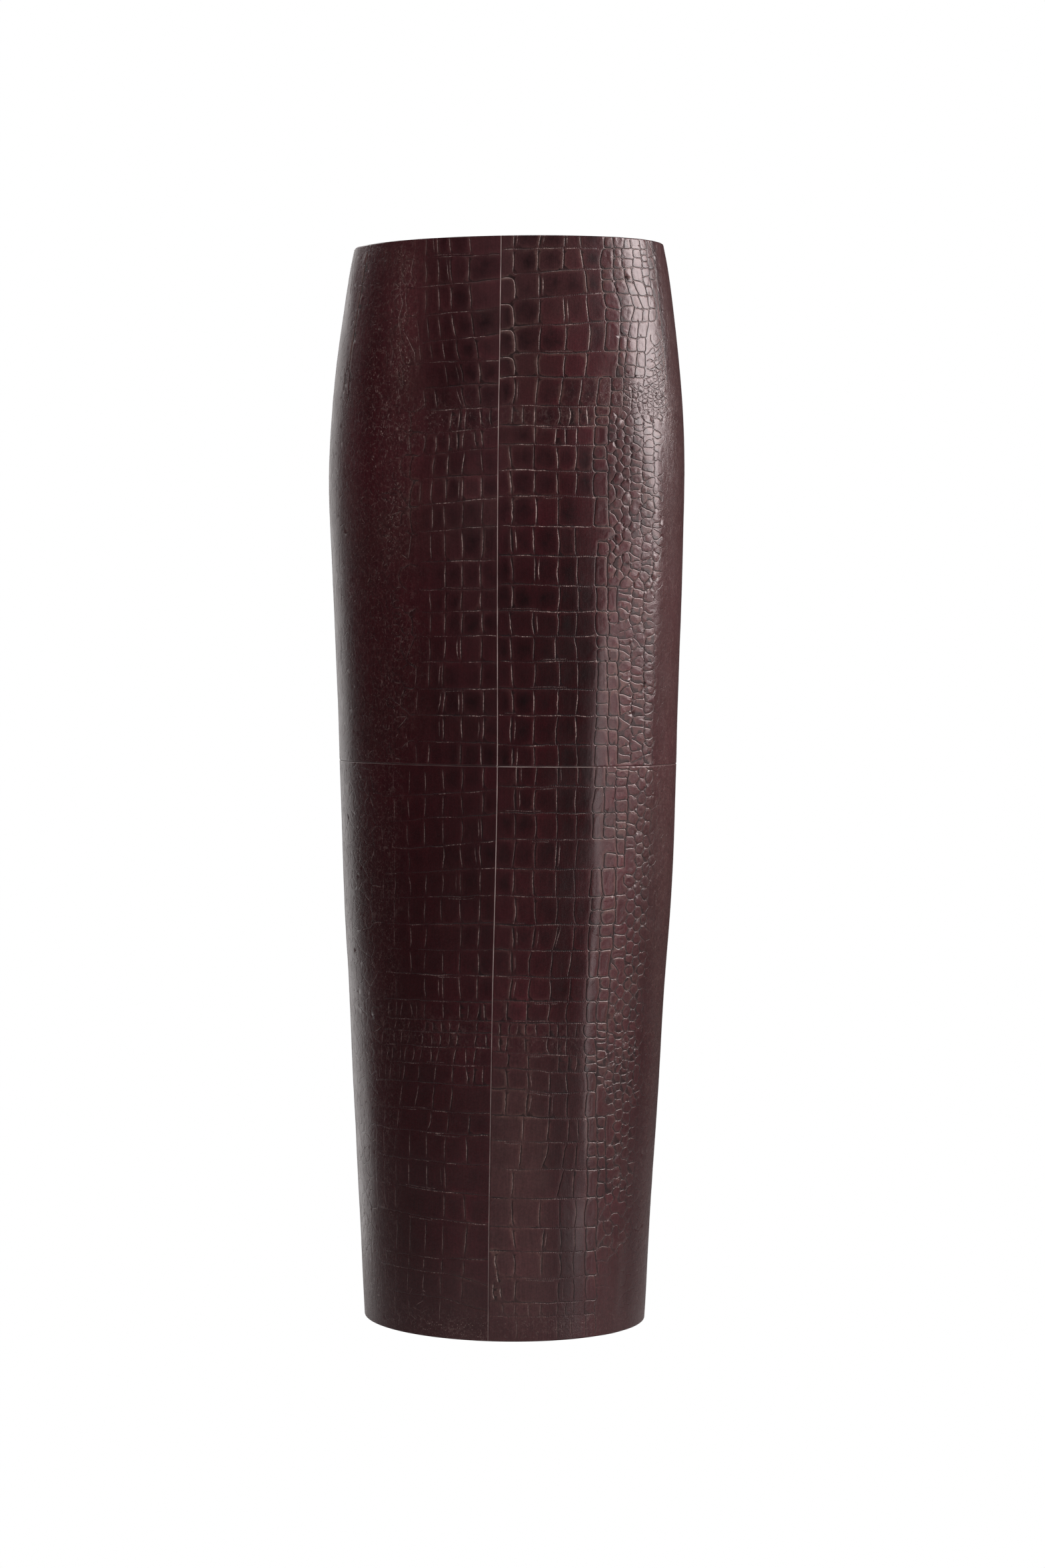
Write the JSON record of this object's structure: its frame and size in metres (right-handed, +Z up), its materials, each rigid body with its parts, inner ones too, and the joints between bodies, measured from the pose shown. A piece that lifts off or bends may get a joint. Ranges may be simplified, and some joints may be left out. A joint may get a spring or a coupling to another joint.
{
  "type": "leather skirt",
  "caption": "Full-length pencil skirt of crocodile-embossed leather with a seam down the front, a seam across, waist darts, a back zip and a back slit.",
  "frame": {"origin": "middle of the waist opening, in the plane of the waist edge", "axes": "+Z up out of the waist, -Y towards the front, +X to the right of the front view"},
  "size_m": [0.3221, 0.2569, 0.9726],
  "materials": {
    "leather": "dark oxblood, glossy, embossed with crocodile scales",
    "zip_tape": "dark woven tape",
    "zip_metal": "satin dark nickel"
  },
  "bodies": {
    "skirt": {"front_upper_left": "leather", "front_upper_right": "leather", "front_lower_left": "leather", "front_lower_right": "leather", "back_upper_left": "leather", "back_upper_right": "leather", "back_lower_left": "leather", "back_lower_right": "leather", "zip_tape_left": "zip_tape", "zip_tape_right": "zip_tape", "zip_chain": "zip_tape", "zip_slider": "zip_metal"},
    "pull_tab": {"zip_pull_tab": "zip_metal"}
  },
  "joints": [
    {"name": "pull_tab_hinge", "type": "hinge", "parent": "skirt", "child": "pull_tab", "pos_m": [0.00051, 0.10458, -0.01208], "axis": [1, 0, 0], "range_deg": [0, 150]}
  ]
}
